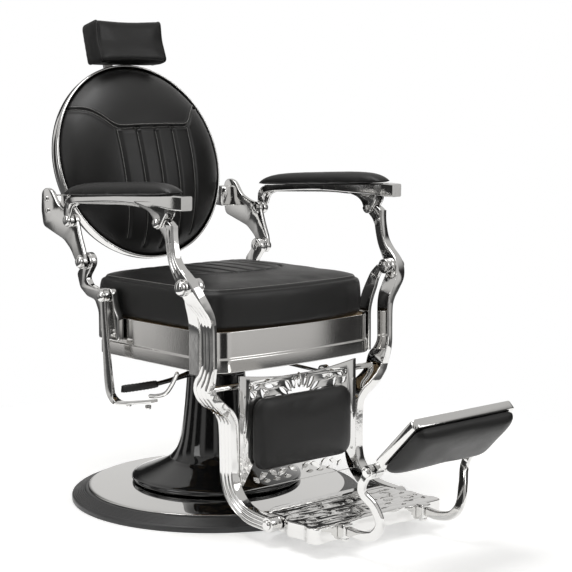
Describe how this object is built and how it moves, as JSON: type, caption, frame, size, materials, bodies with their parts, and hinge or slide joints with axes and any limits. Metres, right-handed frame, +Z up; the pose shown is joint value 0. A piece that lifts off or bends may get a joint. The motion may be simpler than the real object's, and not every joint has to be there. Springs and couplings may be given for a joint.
{
  "type": "hydraulic barber chair",
  "caption": "Vintage hydraulic barber chair with round reclining back, padded arms, linked legrest, flip-over foot board and round floor base.",
  "frame": {"origin": "middle of the base's underside, on the floor", "axes": "the chair's front faces -Y, the sitter's right is -X and +Z is up"},
  "size_m": [0.7, 1.2704, 1.1491],
  "materials": {
    "chrome": "polished",
    "polished_casting": "polished and plated",
    "brushed_steel": "brushed",
    "black_enamel": "gloss",
    "black_rubber": "satin",
    "black_leather": "fine grain",
    "plywood": "raw"
  },
  "bodies": {
    "base": {"base_floor_ring": "black_rubber", "base_plate": "polished_casting", "base_bell": "black_enamel", "column_cover": "black_enamel", "pump_cylinder": "brushed_steel", "cylinder_gland": "black_enamel"},
    "lift": {"lift_ram": "chrome", "swivel_bearing": "brushed_steel"},
    "seat": {"seat_hub": "black_enamel", "under_frame": "black_enamel", "seat_apron": "brushed_steel", "seat_board": "plywood", "seat_cushion": "black_leather", "knee_lug_right": "chrome", "knee_lug_left": "chrome", "back_lug_right": "chrome", "back_lug_left": "chrome", "knee_pin_right": "chrome", "knee_pin_left": "chrome", "back_pin_right": "chrome", "back_pin_left": "chrome"},
    "backrest": {"back_shell": "polished_casting", "back_board": "plywood", "back_cushion": "black_leather", "back_rear_panel": "black_leather", "headrest_socket": "chrome", "back_bracket_right": "chrome", "back_bracket_left": "chrome", "arm_rear_pin_right": "chrome", "arm_rear_pin_left": "chrome"},
    "headrest_knob": {"headrest_knob": "black_enamel"},
    "headrest_slider": {"headrest_post": "chrome"},
    "headrest": {"headrest_plate": "chrome", "headrest_cushion": "black_leather"},
    "arm_right": {"arm_casting_right": "polished_casting", "arm_pad_right": "black_leather"},
    "arm_left": {"arm_casting_left": "polished_casting", "arm_pad_left": "black_leather"},
    "legrest": {"leg_casting_right": "polished_casting", "leg_casting_left": "polished_casting", "arm_front_pin_right": "chrome", "arm_front_pin_left": "chrome", "flip_clamp_right": "chrome", "flip_clamp_left": "chrome", "flip_arm_right": "chrome", "flip_arm_left": "chrome", "calf_panel": "chrome", "leg_crossbar": "chrome", "calf_pad": "black_leather", "footplate": "polished_casting", "footplate_rod": "chrome", "flip_shaft": "chrome"},
    "flip_board": {"flip_tray": "polished_casting", "flip_pad": "black_leather"},
    "pump_lever": {"pump_lever": "black_enamel", "pump_grip": "black_rubber"},
    "recline_lever": {"recline_lever": "chrome", "recline_rod": "chrome"},
    "strut_body": {"strut_body": "black_enamel"},
    "strut_rod": {"strut_rod": "chrome"}
  },
  "joints": [
    {"name": "seat_lift", "type": "slide", "parent": "base", "child": "lift", "axis": [0, 0, 1], "range_m": [0, 0.15]},
    {"name": "seat_swivel", "type": "hinge", "parent": "lift", "child": "seat", "pos_m": [0, 0, 0.3244], "axis": [0, 0, 1], "continuous": true},
    {"name": "back_recline", "type": "hinge", "parent": "seat", "child": "backrest", "pos_m": [0, 0.147, 0.577], "axis": [-1, 0, 0], "range_deg": [0, 45]},
    {"name": "legrest_swing", "type": "hinge", "parent": "seat", "child": "legrest", "pos_m": [0, -0.287, 0.56], "axis": [-1, 0, 0], "range_deg": [0, 33]},
    {"name": "arm_right_hinge", "type": "hinge", "parent": "backrest", "child": "arm_right", "pos_m": [-0.298, 0.175, 0.673], "axis": [1, 0, 0], "range_deg": [0, 48]},
    {"name": "arm_left_hinge", "type": "hinge", "parent": "backrest", "child": "arm_left", "pos_m": [0.298, 0.175, 0.673], "axis": [1, 0, 0], "range_deg": [0, 48]},
    {"name": "headrest_height", "type": "slide", "parent": "backrest", "child": "headrest_slider", "axis": [0, 0.2605, 0.9655], "range_m": [0, 0.08]},
    {"name": "headrest_tilt", "type": "hinge", "parent": "headrest_slider", "child": "headrest", "pos_m": [0, 0.44022, 1.0695], "axis": [-1, 0, 0], "range_deg": [0, 25]},
    {"name": "knob_turn", "type": "hinge", "parent": "backrest", "child": "headrest_knob", "pos_m": [0, 0.41838, 0.87342], "axis": [0, 0.9655, -0.2605], "range_deg": [-180, 180]},
    {"name": "flip_turn", "type": "hinge", "parent": "legrest", "child": "flip_board", "pos_m": [0, -0.684, 0.204], "axis": [-1, 0, 0], "range_deg": [0, 130]},
    {"name": "pump_stroke", "type": "hinge", "parent": "seat", "child": "pump_lever", "pos_m": [-0.088, -0.04, 0.318], "axis": [0, 1, 0], "range_deg": [0, 14]},
    {"name": "recline_release", "type": "hinge", "parent": "seat", "child": "recline_lever", "pos_m": [-0.28, 0.064, 0.504], "axis": [1, 0, 0], "range_deg": [0, 11], "stiffness_Nm_per_rad": 2, "springref_deg": -28.65},
    {"name": "strut_tilt", "type": "hinge", "parent": "seat", "child": "strut_body", "pos_m": [0.1, 0.1, 0.335], "axis": [-1, 0, 0], "range_deg": [0, 3.4]},
    {"name": "strut_slide", "type": "slide", "parent": "strut_body", "child": "strut_rod", "axis": [0, -0.9996, -0.0267], "range_m": [0, 0.133]}
  ],
  "couplings": [
    {"joint": "legrest_swing", "follows": "back_recline", "ratio": 0.7323},
    {"joint": "arm_right_hinge", "follows": "back_recline", "ratio": 1.0624},
    {"joint": "arm_left_hinge", "follows": "back_recline", "ratio": 1.0624},
    {"joint": "strut_tilt", "follows": "back_recline", "ratio": 0.0716},
    {"joint": "strut_slide", "follows": "back_recline", "m_per_rad": 0.1673}
  ]
}
